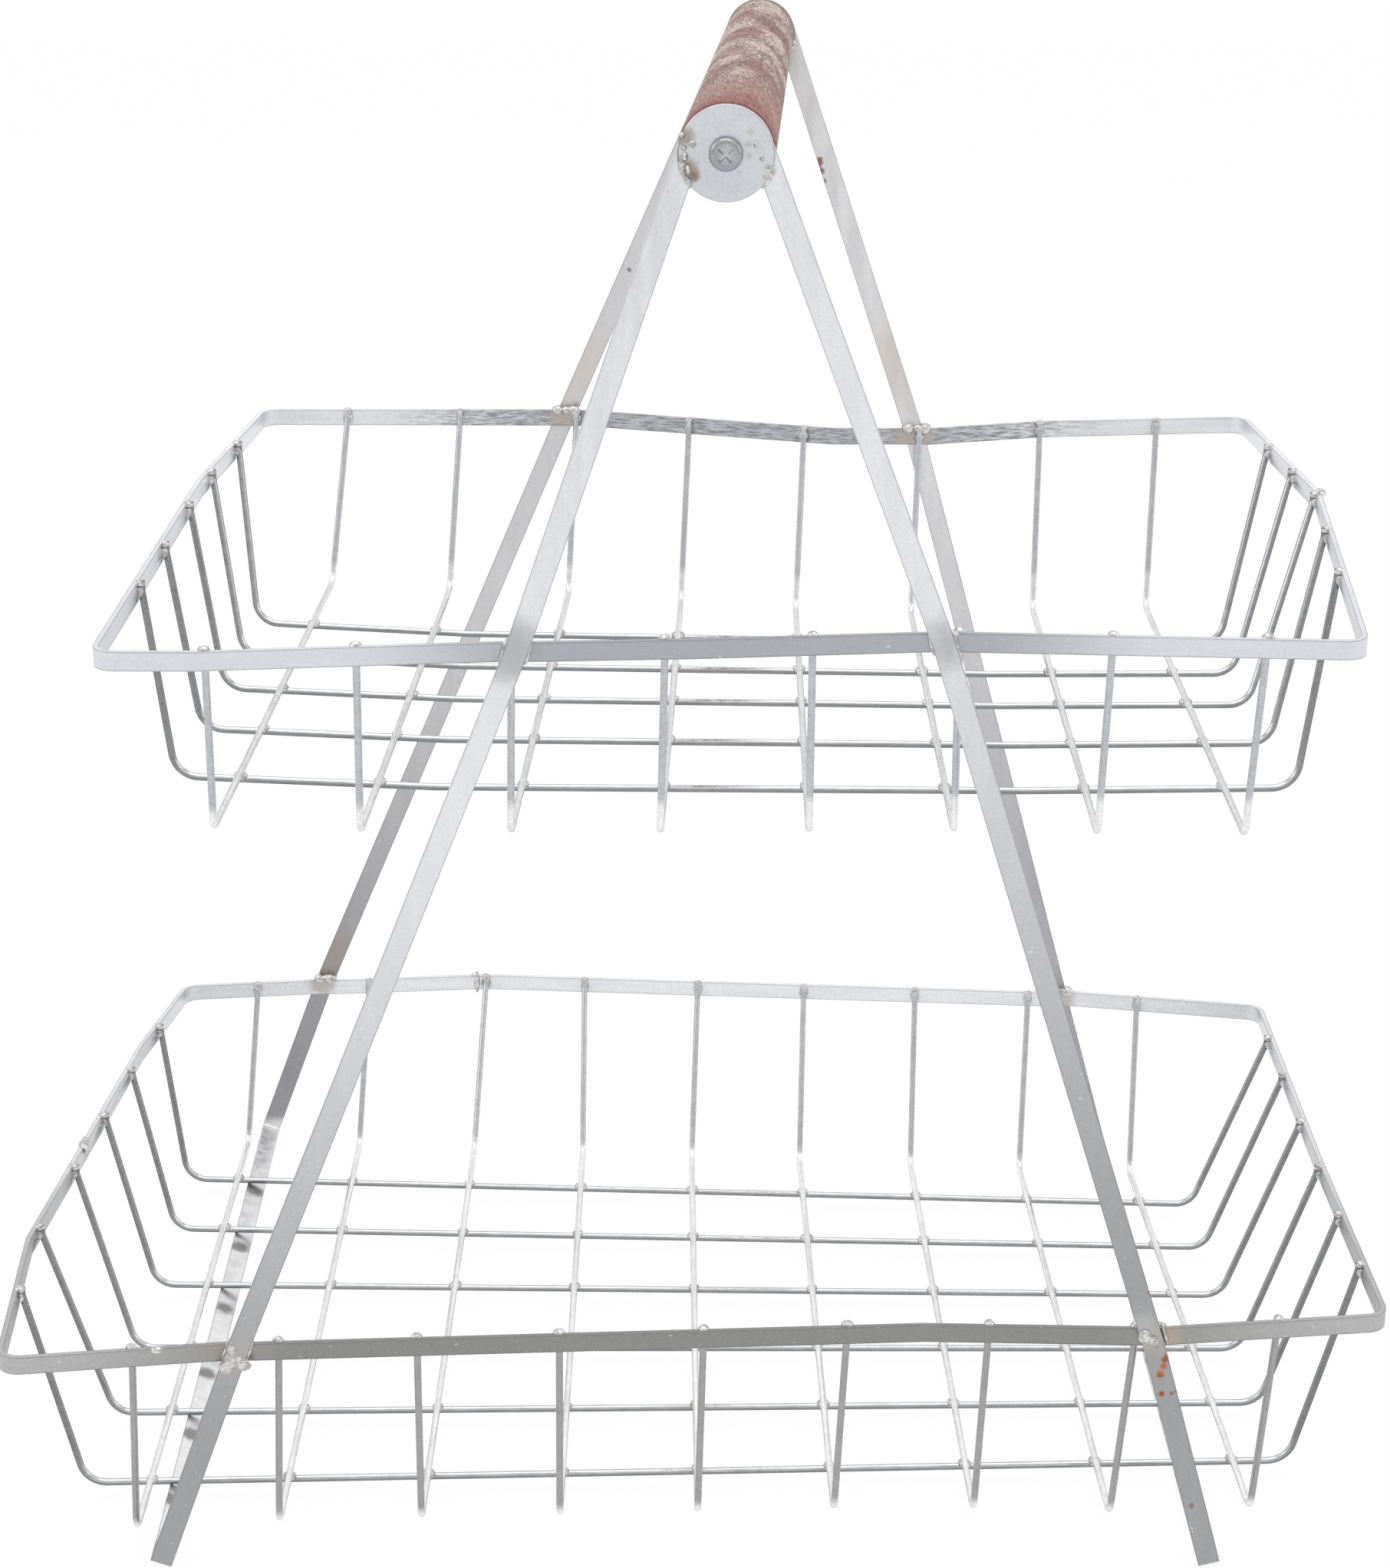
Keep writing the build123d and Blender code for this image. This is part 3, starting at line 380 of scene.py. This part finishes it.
# Turned hardwood with a red-brown stain, worn by hands to pale pinkish wood with grey grain and
# crossed by thin dark rings. Sizes are in mm, and reaches start at the front end
gripLook = {
    "pale": "#C9B2A7", "stain": "#8E5A4D", "cloudSize": (16, 30, 16), "cloudRange": (0.38, 0.6),
    "frontEnd": -133, "wander": 90,
    "reds": (((75, 160), "#8E5A4D", 0.85), ((45, 85), "#7E3423", 0.9)),  # reach, colour, strength
    "fibreSize": (0.9, 5.0, 0.9), "fibreShade": (0.34, 0.60, 0.60, 1.12),
    "speck": "#3C3230", "speckSize": (0.8, 1.8, 0.8), "speckRange": (0.48, 0.55),
    "dirtSize": (12, 18, 12), "dirtRange": (0.40, 0.56, 0.4, 1.0),
    "wornReach": (70, 120), "wornRange": (0.2, 1.0),
    "ringPlaces": (99, 42, -18), "ringSway": 6, "ringWidth": 0.6,
    "ringRange": (0.4, 0.5, 0.2, 0.8), "ringColour": "#7D5F58",
    "bump": 0.5, "bumpHeight": 0.15, "roughness": (0.62, 0.45), "roughRange": (0.3, 0.7),
}


def gripMaterial(name, look):
    material, tree, shader, place = newMaterial(name, {"IOR": 1.5})
    axes = addNode(tree, "ShaderNodeSeparateXYZ", inputs=[place])
    clouds = grainNoise(tree, place, look["cloudSize"], detail=3.0, seed=1.0)
    wear = addNode(tree, "ShaderNodeMapRange", smooth, [clouds.outputs[0], *look["cloudRange"]])
    base = addNode(tree, "ShaderNodeMix", mixing, {
        0: wear.outputs[0], 6: colour(look["stain"]), 7: colour(look["pale"])}).outputs[2]
    wander = addNode(tree, "ShaderNodeMath", {"operation": "MULTIPLY_ADD"}, [
        clouds.outputs[0], look["wander"] * millimetre, axes.outputs["Y"]])
    for reach, tone, strength in look["reds"]:  # redder towards the front end
        ends = metres(look["frontEnd"] + distance for distance in reach)
        red = addNode(tree, "ShaderNodeMapRange", smooth, [wander.outputs[0], *ends, strength, 0.0])
        base = addNode(tree, "ShaderNodeMix", mixing, {
            0: red.outputs[0], 6: base, 7: colour(tone)}).outputs[2]
    fibres = grainNoise(tree, place, look["fibreSize"], detail=5.0, seed=4.0)
    fibreShade = addNode(tree, "ShaderNodeMapRange", smooth, [
        fibres.outputs[0], *look["fibreShade"]])
    base = addNode(tree, "ShaderNodeMix", multiplying, {
        0: 1.0, 6: base, 7: fibreShade.outputs[0]}).outputs[2]
    specks = grainNoise(tree, place, look["speckSize"], detail=3.0, seed=9.0)
    speckMask = addNode(tree, "ShaderNodeMapRange", smooth, [
        specks.outputs[0], *look["speckRange"]])
    dirt = grainNoise(tree, place, look["dirtSize"], detail=2.0, seed=6.0)
    dirtMask = addNode(tree, "ShaderNodeMapRange", smooth, [dirt.outputs[0], *look["dirtRange"]])
    dirty = addNode(tree, "ShaderNodeMath", product, [speckMask.outputs[0], dirtMask.outputs[0]])
    ends = metres(look["frontEnd"] + distance for distance in look["wornReach"])
    worn = addNode(tree, "ShaderNodeMapRange", smooth, [
        wander.outputs[0], *ends, *look["wornRange"]])
    grey = addNode(tree, "ShaderNodeMath", product, [dirty.outputs[0], worn.outputs[0]])
    base = addNode(tree, "ShaderNodeMix", mixing, {
        0: grey.outputs[0], 6: base, 7: colour(look["speck"])}).outputs[2]
    swaying = addNode(tree, "ShaderNodeMath", {"operation": "MULTIPLY_ADD"}, [
        dirt.outputs[0], look["ringSway"] * millimetre, axes.outputs["Y"]])
    faint = addNode(tree, "ShaderNodeMapRange", smooth, [clouds.outputs[0], *look["ringRange"]])
    for ring in look["ringPlaces"]:  # half the sway keeps a ring about its place
        line = addNode(tree, "ShaderNodeMath", {"operation": "COMPARE"}, [
            swaying.outputs[0], *metres((ring + look["ringSway"] / 2, look["ringWidth"]))])
        thin = addNode(tree, "ShaderNodeMath", product, [line.outputs[0], faint.outputs[0]])
        base = addNode(tree, "ShaderNodeMix", mixing, {
            0: thin.outputs[0], 6: base, 7: colour(look["ringColour"])}).outputs[2]
    roughness = addNode(tree, "ShaderNodeMapRange", smooth, [
        fibres.outputs[0], *look["roughRange"], *look["roughness"]])
    lift = addNode(tree, "ShaderNodeBump", inputs={
        "Strength": look["bump"], "Distance": look["bumpHeight"] * millimetre,
        "Height": fibres.outputs[0]})
    tree.links.new(base, shader.inputs["Base Color"])
    tree.links.new(roughness.outputs[0], shader.inputs["Roughness"])
    tree.links.new(lift.outputs[0], shader.inputs["Normal"])
    return material


dress("handle_grip", gripMaterial("turnedHardwoodWorn", gripLook))
print("grip finish done")

# Weld metal, left as it cooled: bright lumps with a brown tinge in the hollows
weldLook = {
    "bright": "#DEDEDF", "dimmer": "#B5B0AB", "grain": 1.6, "hollows": (0.38, 0.62),
    "bump": 0.6, "bumpHeight": 0.15, "roughness": (0.42, 0.22), "roughRange": (0.3, 0.7),
}


def weldMaterial(name, look):
    material, tree, shader, place = newMaterial(name, {"Metallic": 1.0})
    clouds = grainNoise(tree, place, (look["grain"],) * 3, detail=4.0)
    proud = addNode(tree, "ShaderNodeMapRange", smooth, [clouds.outputs[0], *look["hollows"]])
    base = addNode(tree, "ShaderNodeMix", mixing, {
        0: proud.outputs[0], 6: colour(look["dimmer"]), 7: colour(look["bright"])})
    roughness = addNode(tree, "ShaderNodeMapRange", smooth, [
        clouds.outputs[0], *look["roughRange"], *look["roughness"]])
    lift = addNode(tree, "ShaderNodeBump", inputs={
        "Strength": look["bump"], "Distance": look["bumpHeight"] * millimetre,
        "Height": clouds.outputs[0]})
    tree.links.new(base.outputs[2], shader.inputs["Base Color"])
    tree.links.new(roughness.outputs[0], shader.inputs["Roughness"])
    tree.links.new(lift.outputs[0], shader.inputs["Normal"])
    return material


weldMetal = weldMaterial("weldMetalAsCooled", weldLook)


def lumpyBead(name, unevenness, seed, cuts=2):  # one millimetre across
    bpy.ops.object.select_all(action="DESELECT")
    bpy.ops.mesh.primitive_cube_add(size=millimetre)
    bead = bpy.context.active_object
    bead.name = name
    bpy.ops.object.mode_set(mode="EDIT")
    bpy.ops.mesh.select_all(action="SELECT")
    bpy.ops.mesh.subdivide(number_cuts=cuts, smoothness=1)
    bpy.ops.transform.vertex_random(offset=unevenness * millimetre, seed=seed)
    bpy.ops.object.mode_set(mode="OBJECT")
    rounding = bead.modifiers.new("rounding", "SUBSURF")
    rounding.levels = rounding.render_levels = 1
    bpy.ops.object.modifier_apply(modifier=rounding.name)
    bpy.ops.object.shade_smooth()
    bead.data.materials.append(weldMetal)
    return bead


def placeBead(bead, centre, size, turn=0.0, roll=0.0):  # size in mm, turn about Z, roll about Y
    copy = bead.copy()
    copy.data = bead.data.copy()
    place = Matrix.Translation(centre) @ Matrix.Rotation(turn, 4, "Z") @ Matrix.Rotation(roll, 4, "Y")
    copy.data.transform(place @ Matrix.Diagonal((*size, 1)))
    bpy.context.scene.collection.objects.link(copy)
    return copy


def joinBeads(name, beads):
    bpy.ops.object.select_all(action="DESELECT")
    for bead in beads:
        bead.select_set(True)
    bpy.context.view_layer.objects.active = beads[0]
    bpy.ops.object.join()
    welds = bpy.context.active_object
    welds.name = name
    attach(welds, "basket")


beadKinds = [lumpyBead(f"beadKind{seed}", unevenness=0.09, seed=seed) for seed in (1, 2, 3)]
nuggetKind = lumpyBead("nuggetKind", unevenness=0.06, seed=4, cuts=1)
capDepth = 0.02  # mm below a wire's top that still belongs to its end face


def wireEnds(name, axis):  # middles of the wire's two end faces, with the way out of the tray
    points = [vertex.co for vertex in nodes[name].data.vertices]
    middle = (min(p[axis] for p in points) + max(p[axis] for p in points)) / 2
    ends = []
    for side in (-1, 1):
        half = [p for p in points if (p[axis] - middle) * side > 0]
        top = max(p.z for p in half)
        cap = [p for p in half if top - p.z < capDepth * millimetre]
        out = Vector((side, 0, 0)) if axis == 0 else Vector((0, side, 0))
        ends.append((sum(cap, Vector()) / len(cap), out))
    return ends


# Each wire's end is welded to the inside of its rim, with a lump over its top and one at its foot
endWeld = {
    "width": 2.5, "depth": 2.3, "height": 1.9, "outward": 0.5, "drop": 0.9,
    "footWidth": 2.8, "footDepth": 1.8, "footHeight": 2.6, "footDrop": 2.8,
    "unevenness": 0.12, "neatness": 0.82,
}
for tray in ("upper", "lower"):
    beads = []
    for way, axis in (("long", 0), ("cross", 1)):
        for number, name in enumerate(wireNames[f"{tray}_{way}_wire"]):
            for end, (top, out) in enumerate(wireEnds(name, axis)):
                kind = beadKinds[(number + end) % 3]
                turn = 0 if axis == 1 else math.pi / 2
                swell = 1 + endWeld["unevenness"] * math.sin(3 * number + end)
                if not (axis == 1 and end == 0):  # neater than along the front
                    swell *= endWeld["neatness"]
                centre = top + (out * endWeld["outward"] - Vector((0, 0, endWeld["drop"]))) * millimetre
                size = (endWeld["width"] * swell, endWeld["depth"], endWeld["height"] * swell)
                beads.append(placeBead(kind, centre, size, turn))
                foot = centre - Vector((0, 0, endWeld["footDrop"])) * millimetre
                size = (endWeld["footWidth"] * swell, endWeld["footDepth"], endWeld["footHeight"])
                beads.append(placeBead(kind, foot, size, turn + math.pi))
    joinBeads(f"{tray}_wire_end_welds", beads)
print("wire end welds done")

floorRun = {"shortest": 6, "steepest": 0.2, "ringGap": 1.2}  # a wire's run on the tray's floor


def floorLine(name, axis):  # middles of a wire's rings along its run on the tray's floor
    mesh = nodes[name].data
    points = set()
    for edge in mesh.edges:
        a, b = (mesh.vertices[index].co for index in edge.vertices)
        length = (a - b).length
        level = abs(a.z - b.z) < floorRun["steepest"] * length
        if length > floorRun["shortest"] * millimetre and level:
            points.update(tuple(round(value, 6) for value in point) for point in (a, b))
    rings = []
    for point in sorted(points, key=lambda p: p[axis]):
        if not rings or point[axis] - rings[-1][-1][axis] > floorRun["ringGap"] * millimetre:
            rings.append([])
        rings[-1].append(point)
    return [sum((Vector(p) for p in ring), Vector()) / len(ring) for ring in rings]


def crossing(first, second):  # where two lines cross, seen from above
    for a, b in zip(first, first[1:]):
        for c, d in zip(second, second[1:]):
            u, v = b - a, d - c
            across = u.x * v.y - u.y * v.x
            s = ((c.x - a.x) * v.y - (c.y - a.y) * v.x) / across
            t = ((c.x - a.x) * u.y - (c.y - a.y) * u.x) / across
            if 0 <= s <= 1 and 0 <= t <= 1:
                return (a + u * s + c + v * t) / 2
    return None


# Crossing wires are spot welded, which squeezes out a small nugget between them
nugget = {"width": 3.3, "depth": 2.9, "height": 2.1, "unevenness": 0.1, "turn": 0.4}
for tray in ("upper", "lower"):
    lows = [floorLine(name, 0) for name in wireNames[f"{tray}_long_wire"]]
    beads = []
    for number, name in enumerate(wireNames[f"{tray}_cross_wire"]):
        run = floorLine(name, 1)
        for row, low in enumerate(lows):
            place = crossing(low, run)
            if place:
                swell = 1 + nugget["unevenness"] * math.sin(5 * number + 2 * row)
                size = (nugget["width"] * swell, nugget["depth"] * swell, nugget["height"])
                beads.append(placeBead(nuggetKind, place, size, nugget["turn"] * row))
    print(tray, "crossings", len(beads))
    joinBeads(f"{tray}_crossing_welds", beads)

# Rims are welded to the insides of the legs: fillets beside each leg and a lump on the rim's top.
# Places are the leg's x, the height of the rim's middle, the leg's lean, the lump's size and the
# side, -1 in front or 1 behind. Sizes and shifts are across, outwards and up
legWelds = {
    "upper_rim": [(-53.1, 308.3, 0.30, 1.0, -1), (75.5, 308.3, -0.28, 1.0, -1),
                  (-49.9, 308.3, 0.31, 1.15, 1), (84.0, 308.3, -0.33, 1.2, 1)],
    "lower_rim": [(-145.6, 78.6, 0.34, 0.9, -1), (147.4, 81.2, -0.30, 0.9, -1),
                  (-153.3, 67.2, 0.30, 0.85, 1), (149.7, 70.2, -0.29, 0.85, 1)],
}
legWeld = {
    "searchFrom": 300, "fillet": (1.0, 1.2, 5.2), "filletShift": (3.8, 0.5, 0),
    "top": (6.0, 2.2, 1.5), "topShift": (0.4, -0.6, 2.7),
    "under": (4.0, 0.9, 0.8), "underShift": (0, 0.3, -3.2),
    "knobs": ((-2.6, 3.0), (2.4, 3.4), (0.2, 2.4)),  # each one's place across and its width
    "knobShift": (-1.0, 0.4), "knobShape": (1, 0.9, 0.8),
}
beads = []
for rim, places in legWelds.items():
    for number, (x, z, lean, swell, side) in enumerate(places):
        start = Vector(metres((x, side * legWeld["searchFrom"], z)))
        hit, face, _, _ = nodes[rim].ray_cast(start, Vector((0, -side, 0)))
        if not hit:
            print("no rim at", rim, x)
            continue
        across, out, up = legWeld["filletShift"]
        for edge in (-1, 1):
            centre = face + Vector((edge * across, side * out, up)) * millimetre
            beads.append(placeBead(beadKinds[number % 3], centre, legWeld["fillet"], 0, lean))
        across, out, up = legWeld["topShift"]
        top = face + Vector((across, side * out, up)) * millimetre
        size = [length * swell for length in legWeld["top"]]
        beads.append(placeBead(beadKinds[(number + 1) % 3], top, size))
        if side == 1:  # bigger knobs behind, run down over the wire there
            for across, width in legWeld["knobs"]:
                knob = top + Vector((across, *legWeld["knobShift"])) * millimetre * swell
                size = [width * share for share in legWeld["knobShape"]]
                beads.append(placeBead(beadKinds[(number + 2) % 3], knob, size, across))
        else:
            across, out, up = legWeld["underShift"]
            under = face + Vector((across, side * out, up)) * millimetre
            beads.append(placeBead(beadKinds[number % 3], under, legWeld["under"]))
crusts = [  # metal run through to the face of the front legs: place, size, lean
    ((-146.8, -160.2, 75.6), (4.2, 0.5, 3.4), 0.4), ((-143.4, -160.2, 74.0), (2.8, 0.6, 2.2), -0.2),
    ((-147.2, -160.2, 79.6), (1.8, 0.6, 2.0), 0.1), ((-149.6, -160.0, 73.0), (2.8, 1.2, 2.8), 0.2),
    ((144.6, -154.7, 81.4), (2.8, 1.0, 3.0), 0.2), ((147.0, -154.9, 79.8), (2.4, 0.5, 2.2), -0.3),
]
for number, (place, size, lean) in enumerate(crusts):
    beads.append(placeBead(beadKinds[number % 3], Vector(place) * millimetre, size, 0, lean))
joinBeads("leg_welds", beads)

# Rims are closed by butt welds, ground off roughly: place and size
buttWelds = [
    ((-90.1, 163.3, 67.2), (1.5, 0.9, 6.2)), ((-91.0, 163.2, 70.0), (1.8, 1.3, 1.2)),
    ((-223.4, -1.1, 74.1), (2.2, 5.6, 1.3)), ((-222.2, -3.4, 73.0), (1.3, 3.0, 2.0)),
    ((-223.9, 2.6, 73.2), (1.4, 2.6, 2.0)), ((219.8, 30.3, 311.5), (2.2, 4.6, 1.3)),
    ((-170.6, -162.2, 80.9), (2.6, 1.6, 1.6)),
]
beads = [placeBead(beadKinds[number % 3], Vector(place) * millimetre, size)
         for number, (place, size) in enumerate(buttWelds)]
joinBeads("rim_butt_welds", beads)

# Legs are welded to the edges of the discs, with spatter left on the front one: place and width
discSpatter = [
    ((-0.3, -137.8, 457.5), 1.5), ((-2.1, -137.7, 454.0), 1.9), ((-1.9, -137.8, 450.3), 2.4),
    ((-3.4, -137.6, 452.0), 1.5), ((-3.0, -137.6, 460.0), 1.3), ((17.8, -138.7, 457.6), 1.3),
    ((21.3, -138.9, 450.7), 1.6), ((-2.6, -137.6, 456.4), 1.2), ((19.6, -138.8, 453.4), 1.0),
]
discWeld = {
    "angles": (200, 214, 326, 340), "size": (2.0, 2.8, 3.4),
    "spatterDepth": 0.8, "spatterHeight": 0.9,  # mm, and a share of the width
}
beads = []
for number, (place, width) in enumerate(discSpatter):
    size = (width, discWeld["spatterDepth"], width * discWeld["spatterHeight"])
    beads.append(placeBead(beadKinds[number % 3], Vector(place) * millimetre, size, number))
for end in ("front", "rear"):
    low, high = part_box(f"{end}_end_disc")
    middle = (low + high) / 2
    radius = (high.z - low.z) / 2
    for angle in map(math.radians, discWeld["angles"]):
        edge = middle + Vector((math.cos(angle) * radius, 0, math.sin(angle) * radius))
        beads.append(placeBead(beadKinds[0], edge, discWeld["size"], 0, -angle))
joinBeads("disc_welds", beads)
for bead in (*beadKinds, nuggetKind):
    bpy.data.objects.remove(bead)
print("welds done")

# Camera at the photograph's angle
cameraLook = {"place": (0.53, -1053.173, 594.83), "lookDown": 19.8966, "lens": 82.45, "sensor": 36}
cameraData = bpy.data.cameras.new("camera")
cameraData.sensor_fit = "HORIZONTAL"
cameraData.sensor_width = cameraLook["sensor"]
cameraData.lens = cameraLook["lens"]
camera = bpy.data.objects.new("camera", cameraData)
camera.location = Vector(cameraLook["place"]) * millimetre
camera.rotation_euler = (math.radians(90 - cameraLook["lookDown"]), 0, 0)
bpy.context.scene.collection.objects.link(camera)
bpy.context.scene.camera = camera

# White paper floor: lit, with the object's shadow, and bright to the eye and to the metal
white = (1, 1, 1, 1)
floorLook = {"size": 8, "paper": "#F4F4F4", "glow": 0.94}
bpy.ops.object.select_all(action="DESELECT")
bpy.ops.mesh.primitive_plane_add(size=floorLook["size"])
floor = bpy.context.active_object
floor.name = "floor"
paper = bpy.data.materials.new("whitePaper")
paper.use_nodes = True
tree = paper.node_tree
tree.nodes.clear()
matt = addNode(tree, "ShaderNodeBsdfDiffuse", inputs={"Color": colour(floorLook["paper"])})
glow = addNode(tree, "ShaderNodeEmission", inputs={"Color": white, "Strength": 1.0})
rays = addNode(tree, "ShaderNodeLightPath")
seen = addNode(tree, "ShaderNodeMath", greater, [
    rays.outputs["Is Camera Ray"], rays.outputs["Is Glossy Ray"]])
seen = addNode(tree, "ShaderNodeMath", greater, [
    seen.outputs[0], rays.outputs["Is Transmission Ray"]])
share = addNode(tree, "ShaderNodeMath", product, [seen.outputs[0], floorLook["glow"]])
mixed = addNode(tree, "ShaderNodeMixShader", inputs=[
    share.outputs[0], matt.outputs[0], glow.outputs[0]])
addNode(tree, "ShaderNodeOutputMaterial", inputs={"Surface": mixed.outputs[0]})
floor.data.materials.append(paper)

# World: white behind and above, and a softly darker room in front, which only metal picks up
worldLook = {"frontDark": 0.75, "behind": (-0.35, 0.25), "above": (0.40, 0.80)}
world = bpy.data.worlds.new("studio")
bpy.context.scene.world = world
world.use_nodes = True
tree = world.node_tree
tree.nodes.clear()
way = addNode(tree, "ShaderNodeTexCoord").outputs["Generated"]
axes = addNode(tree, "ShaderNodeSeparateXYZ", inputs=[way])
behind = addNode(tree, "ShaderNodeMapRange", smooth, [axes.outputs["Y"], *worldLook["behind"]])
above = addNode(tree, "ShaderNodeMapRange", smooth, [axes.outputs["Z"], *worldLook["above"]])
bright = addNode(tree, "ShaderNodeMath", greater, [behind.outputs[0], above.outputs[0]])
level = addNode(tree, "ShaderNodeMapRange", smooth, [
    bright.outputs[0], 0.0, 1.0, worldLook["frontDark"], 1.0])
rays = addNode(tree, "ShaderNodeLightPath")
metal = addNode(tree, "ShaderNodeMix", mixing, {
    0: rays.outputs["Is Glossy Ray"], 6: white, 7: level.outputs[0]})
direct = addNode(tree, "ShaderNodeMath", greater, [
    rays.outputs["Is Camera Ray"], rays.outputs["Is Transmission Ray"]])
sky = addNode(tree, "ShaderNodeMix", mixing, {0: direct.outputs[0], 6: metal.outputs[2], 7: white})
background = addNode(tree, "ShaderNodeBackground", inputs={"Color": sky.outputs[2], "Strength": 1.0})
addNode(tree, "ShaderNodeOutputWorld", inputs={"Surface": background.outputs[0]})

lamps = {  # place and size in metres, power in watts
    "top": {"place": (0, 0.1, 1.9), "size": 1.4, "power": 7.0},
    "left": {"place": (-1.6, -0.6, 1.2), "size": 0.9, "power": 3.5},
    "right": {"place": (1.7, -0.4, 1.0), "size": 0.9, "power": 2.5},
}
lampAim = Vector((0, 0, 0.2))
for name, lamp in lamps.items():
    data = bpy.data.lights.new(name, "AREA")
    data.size = lamp["size"]
    data.energy = lamp["power"]
    light = bpy.data.objects.new(name, data)
    light.location = lamp["place"]
    light.rotation_euler = (lampAim - light.location).to_track_quat("-Z", "Y").to_euler()
    bpy.context.scene.collection.objects.link(light)
bpy.context.scene.view_settings.view_transform = "Standard"
print("camera, floor and light done")
